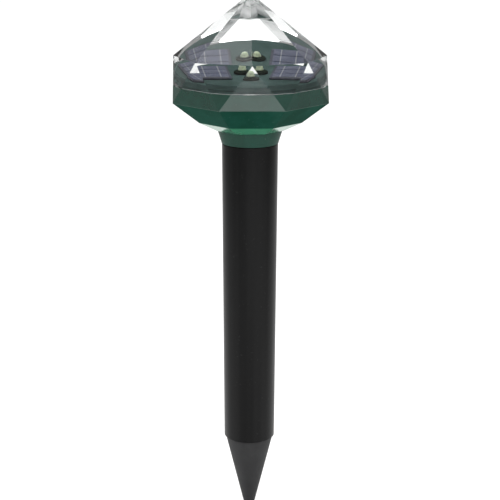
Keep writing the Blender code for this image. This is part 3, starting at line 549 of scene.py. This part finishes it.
def lensFinish():
    # pale milky lens, a little cloudy
    f = Finish("lamp lens")
    haze = f.noise(700.0, 2.0, 0.5)
    colour = f.mix(haze.ramp(0.3, 0.7), deck["lensDeep"], deck["lensPale"])
    return f.shine(Base_Color=colour, Roughness=0.3 + haze * 0.1, Specular_IOR_Level=0.0,
                   Subsurface_Weight=0.3, Subsurface_Radius=(0.003, 0.003, 0.002))


buildDeck()
dressed(lampRing(), "led_bezel", "head", innerFinish("lamp ring", deck["ringColour"], 0.45, 0.0, 0.0))
dressed(lampLens(), "flash_led", "head", lensFinish())
print("deck and lamp done")


# tapered tube and spike
stake = {
    "tubeLow": 0.058, "tubeTop": 0.2807, "tubeLowRadius": 0.0186, "tubeTopRadius": 0.0199,
    "tubeWall": 0.0018, "tubeEdge": 0.0005,
    "tubeLook": {"deep": (0.0045, 0.0045, 0.0047), "pale": (0.0110, 0.0110, 0.0112),
                 "dust": (0.045, 0.045, 0.045), "cloud": 30.0, "peel": 1100.0, "grain": 5200.0,
                 "lines": 420.0, "streaks": 130.0, "streakShare": 0.85, "specks": 600.0,
                 "speckShare": 0.3, "rough": 0.36, "roughSwing": 0.10, "lineRough": 0.14,
                 "peelBump": 0.12, "grainBump": 0.12, "lineBump": 0.20, "specular": 0.12},
    "shoulder": 0.0577, "spikeRadius": 0.0176, "tipRadius": 0.0045, "spikeWall": 0.0032,
    "shoulderEdge": 0.0006, "spigot": 0.022, "spigotPlay": 0.0003, "spigotTaper": (0.0008, 0.0016),
    "spikeLook": {"deep": (0.026, 0.026, 0.027), "pale": (0.036, 0.036, 0.037),
                  "dust": (0.07, 0.07, 0.07), "cloud": 70.0, "peel": 1500.0, "grain": 5200.0,
                  "lines": 260.0, "streaks": 130.0, "streakShare": 0.3, "specks": 900.0,
                  "speckShare": 0.3, "rough": 0.60, "roughSwing": 0.10, "lineRough": 0.06,
                  "peelBump": 0.30, "grainBump": 0.30, "lineBump": 0.10, "specular": 0.22},
}


def taperedTube():
    # open tube whose inner and outer radius grow evenly from the lower end to the top
    s = stake
    low, top, wall = s["tubeLowRadius"], s["tubeTopRadius"], s["tubeWall"]
    outline = [(low, s["tubeLow"]), (top, s["tubeTop"]),
               (top - wall, s["tubeTop"]), (low - wall, s["tubeLow"])]
    return turned("taperedTube", outline, 192, s["tubeEdge"])


def spikeCone():
    # nose arc (R, Z) = (r cos a, r + r sin a) up to the angle where the cone's side leaves it, then the
    # cone, its shoulder, the spigot inside the tube and the hollow core
    s = stake
    rise = s["shoulder"] - s["tipRadius"]
    slant = math.hypot(s["spikeRadius"], rise)
    end = math.atan2(rise, s["spikeRadius"]) - math.acos(s["tipRadius"] / slant)
    a = np.linspace(-math.pi / 2, end, 16)
    nose = np.column_stack([s["tipRadius"] * np.cos(a), s["tipRadius"] * (1 + np.sin(a))])
    nose[0, 0] = 0.0
    spigot = s["tubeLowRadius"] - s["tubeWall"] - s["spigotPlay"]
    top = s["tubeLow"] + s["spigot"]
    inset, drop = s["spigotTaper"]
    core = spigot - s["spikeWall"]
    rest = [(spigot, s["shoulder"]), (spigot, top - drop), (spigot - inset, top), (core, top),
            (core, s["shoulder"]), (0.25 * core, 0.35 * s["shoulder"]), (0.0, 0.35 * s["shoulder"])]
    corner = [(0.0, 0.0), (s["spikeRadius"], s["shoulder"]), (0.5 * s["spikeRadius"], s["shoulder"])]
    shoulder = roundCorners(corner, s["shoulderEdge"])[1:6]
    return turned("spikeCone", np.concatenate([nose, shoulder, rest]), 192)


dressed(taperedTube(), "stake_tube", "stake", mouldedPlastic("tube black", stake["tubeLook"]).material)
dressed(spikeCone(), "ground_spike", "stake", mouldedPlastic("spike grey", stake["spikeLook"]).material)
print("stake done")


# inner pieces: CAD nodes with their own finishes, and a round seal ring
inner = {
    # slot: colour, roughness, metallic
    "black_rubber": ((0.012, 0.012, 0.012), 0.72, 0.0),
    "board_green": ((0.020, 0.140, 0.050), 0.45, 0.0),
    "chip_black": ((0.015, 0.015, 0.016), 0.50, 0.0),
    "can_blue": ((0.020, 0.035, 0.120), 0.35, 0.0),
    "copper_winding": ((0.550, 0.220, 0.090), 0.35, 1.0),
    "steel": ((0.560, 0.560, 0.550), 0.30, 1.0),
    "tinned": ((0.640, 0.640, 0.620), 0.28, 1.0),
    "ferrite": ((0.060, 0.060, 0.062), 0.50, 0.0),
    "cone_paper": ((0.022, 0.020, 0.018), 0.85, 0.0),
    "cell_wrap": ((0.035, 0.230, 0.110), 0.28, 0.0),
    "wire_red": ((0.420, 0.015, 0.012), 0.45, 0.0),
    "wire_black": ((0.012, 0.012, 0.012), 0.45, 0.0),
    "wire_yellow": ((0.560, 0.400, 0.020), 0.45, 0.0),
    "knob_white": ((0.600, 0.600, 0.580), 0.40, 0.0),
}
plugLook = {**stake["tubeLook"], "deep": (0.010, 0.010, 0.011), "pale": (0.016, 0.016, 0.017),
            "rough": 0.44, "lines": 300.0}
pattern = {
    # tracks on the board, turns of the coil and the cell's bare end
    "trackPitch": 0.00254, "trackWidth": 0.16, "trackColour": (0.060, 0.300, 0.120),
    # the coil's grooves take painted shade
    "windingPitch": 0.00042, "paintedGrooveShade": (0.300, 0.090, 0.030),
    "capHeight": 0.0030, "capColour": (0.560, 0.560, 0.550),
}


def boardFinish(colour, rough, metal):
    # lighter tracks on a 2.54 mm grid, broken off where a coarse noise is low
    f = Finish("board green")
    x, y = f.parts(f.place)[:2]
    across = ((x / pattern["trackPitch"]).fraction() - 0.5).size().below(pattern["trackWidth"])
    along = ((y / pattern["trackPitch"]).fraction() - 0.5).size().below(pattern["trackWidth"])
    coarse = f.noise(170.0, 0.0, 0.5)
    tracks = across * coarse.ramp(0.50, 0.52) + along * (1 - coarse.ramp(0.44, 0.46))
    mottle = f.noise(900.0, 3.0, 0.6)
    base = f.mix(mottle, tuple(0.8 * value for value in colour), colour)
    return f.shine(Base_Color=f.mix(tracks, base, pattern["trackColour"]), Metallic=metal,
                   Roughness=rough + mottle * 0.1, Normal=f.bump(tracks, 0.3, 0.00005))


def windingFinish(colour, rough, metal):
    # turns of wire at an even pitch up the coil: copper crests, with painted shade darkening the grooves
    f = Finish("copper winding")
    height = f.parts(f.place)[2]
    turn = ((height / pattern["windingPitch"]).fraction() - 0.5).size() * 2
    return f.shine(Base_Color=f.mix(turn, colour, pattern["paintedGrooveShade"]), Metallic=metal,
                   Roughness=rough + f.noise(700.0) * 0.15, Normal=f.bump(turn, 0.8, 0.0001))


def cellFinish(colour, rough, metal):
    # coloured sleeve with a bare metal end at the top of the cell
    f = Finish("cell wrap")
    height = f.parts(f.place)[2]
    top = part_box("battery_cell_1")[1].z - pattern["capHeight"]
    bare = height.ramp(top - 0.0001, top + 0.0001)
    mottle = f.noise(300.0, 3.0, 0.6)
    base = f.mix(mottle, tuple(0.8 * value for value in colour), colour)
    return f.shine(Base_Color=f.mix(bare, base, pattern["capColour"]), Metallic=metal + bare,
                   Roughness=rough + mottle * 0.1)


def dressInnerPieces():
    patterned = {"board_green": boardFinish, "copper_winding": windingFinish, "cell_wrap": cellFinish}
    finishes = {"plug_black": mouldedPlastic("plug black", plugLook).material}
    for slot, look in inner.items():
        maker = patterned.get(slot)
        finishes[slot] = maker(*look) if maker else innerFinish(slot.replace("_", " "), *look)
    for node, slot in slotOf.items():
        if slot in finishes:
            cadNodes[node].data.materials.clear()
            cadNodes[node].data.materials.append(finishes[slot])
    # seal ring: P(a) = (R + r cos a, z + r sin a), carried round the sleeve
    low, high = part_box("neck_o_ring")
    radius, middle = (high.z - low.z) / 2, (high.z + low.z) / 2
    a = np.arange(20) * 2 * math.pi / 20
    section = np.column_stack([high.x - radius + radius * np.cos(a), middle + radius * np.sin(a)])
    dressed(turned("neckSeal", section, 128), "neck_o_ring", "head", finishes["black_rubber"])


dressInnerPieces()
print("inner pieces done")


# pale floor, soft sky, broad overhead light and soft boxes that the facets mirror
studio = {
    "floorHalf": 1.35, "floorEnds": (-3.0, 8.0),
    "floorColour": (0.93, 0.93, 0.93), "floorFade": 0.985,
    "sky": 0.35,
    "sunPower": 2.95, "sunSpread": math.radians(60), "sunTilt": math.radians(-38),
    "lamps": [
        # place, what it faces, width, height, watts
        ((-0.60, -1.60, 2.20), (0.0, 0.0, 0.25), 1.20, 1.20, 9.0),
        ((1.20, -1.20, 2.40), (0.0, 0.0, 0.25), 1.20, 1.20, 6.0),
        ((0.0, -1.70, 1.00), (0.0, -1.65, 0.0), 0.80, 0.80, 9.0),
        ((-0.515, -0.05, 2.20), (-0.455, -0.05, 0.0), 1.00, 1.20, 9.0),
    ],
}


def aim(item, place, target):
    # puts a light at its place, turned towards its target
    line = np.subtract(target, place)
    tip = math.pi / 2 + math.atan2(line[2], math.hypot(line[0], line[1]))
    item.location = place
    item.rotation_euler = (tip, 0.0, math.atan2(-line[0], line[1]))
    scene.collection.objects.link(item)


def buildStudio():
    half = studio["floorHalf"]
    front, back = studio["floorEnds"]
    corners = np.array([[-half, front, 0.0], [half, front, 0.0], [half, back, 0.0], [-half, back, 0.0]])
    floor = putMesh("studioFloor", corners, [[0, 1, 2, 3]])
    f = Finish("pale floor")
    dimmer = tuple(studio["floorFade"] * value for value in studio["floorColour"])
    colour = f.mix(f.noise(3.0, 2.0, 0.5), studio["floorColour"], dimmer)
    floor.data.materials.append(f.shine(Base_Color=colour, Roughness=0.85))
    world = bpy.data.worlds.new("studio")
    world.use_nodes = True
    world.node_tree.nodes["Background"].inputs["Color"].default_value = (1.0, 1.0, 1.0, 1.0)
    world.node_tree.nodes["Background"].inputs["Strength"].default_value = studio["sky"]
    scene.world = world
    sun = bpy.data.lights.new("overhead", "SUN")
    sun.energy = studio["sunPower"]
    sun.angle = studio["sunSpread"]
    overhead = bpy.data.objects.new("overhead", sun)
    overhead.rotation_euler = (studio["sunTilt"], 0.0, 0.0)
    scene.collection.objects.link(overhead)
    for number, (place, target, width, height, watts) in enumerate(studio["lamps"]):
        light = bpy.data.lights.new(f"softbox{number}", "AREA")
        light.shape = "RECTANGLE"
        light.size = width
        light.size_y = height
        light.energy = watts
        aim(bpy.data.objects.new(light.name, light), place, target)


# camera, upright as in the photo but for a slight roll
view = {
    "focalPixels": 1333.0,     # focal length, for a picture 500 pixels wide
    "pictureWidth": 500.0,
    "sensor": 36.0,
    "pitchDown": math.radians(16.1),
    "roll": math.radians(-0.15), "aside": -0.0005,
    "distance": 0.927,
    "height": 0.4692,
}


def buildCamera():
    data = bpy.data.cameras.new("camera")
    data.sensor_width = view["sensor"]
    data.lens = view["focalPixels"] / view["pictureWidth"] * view["sensor"]
    camera = bpy.data.objects.new("camera", data)
    camera.location = (view["aside"], -view["distance"], view["height"])
    camera.rotation_euler = (math.pi / 2 - view["pitchDown"], view["roll"], 0.0)
    scene.collection.objects.link(camera)
    scene.camera = camera
    scene.view_settings.view_transform = "Standard"


buildStudio()
buildCamera()
print("studio done")
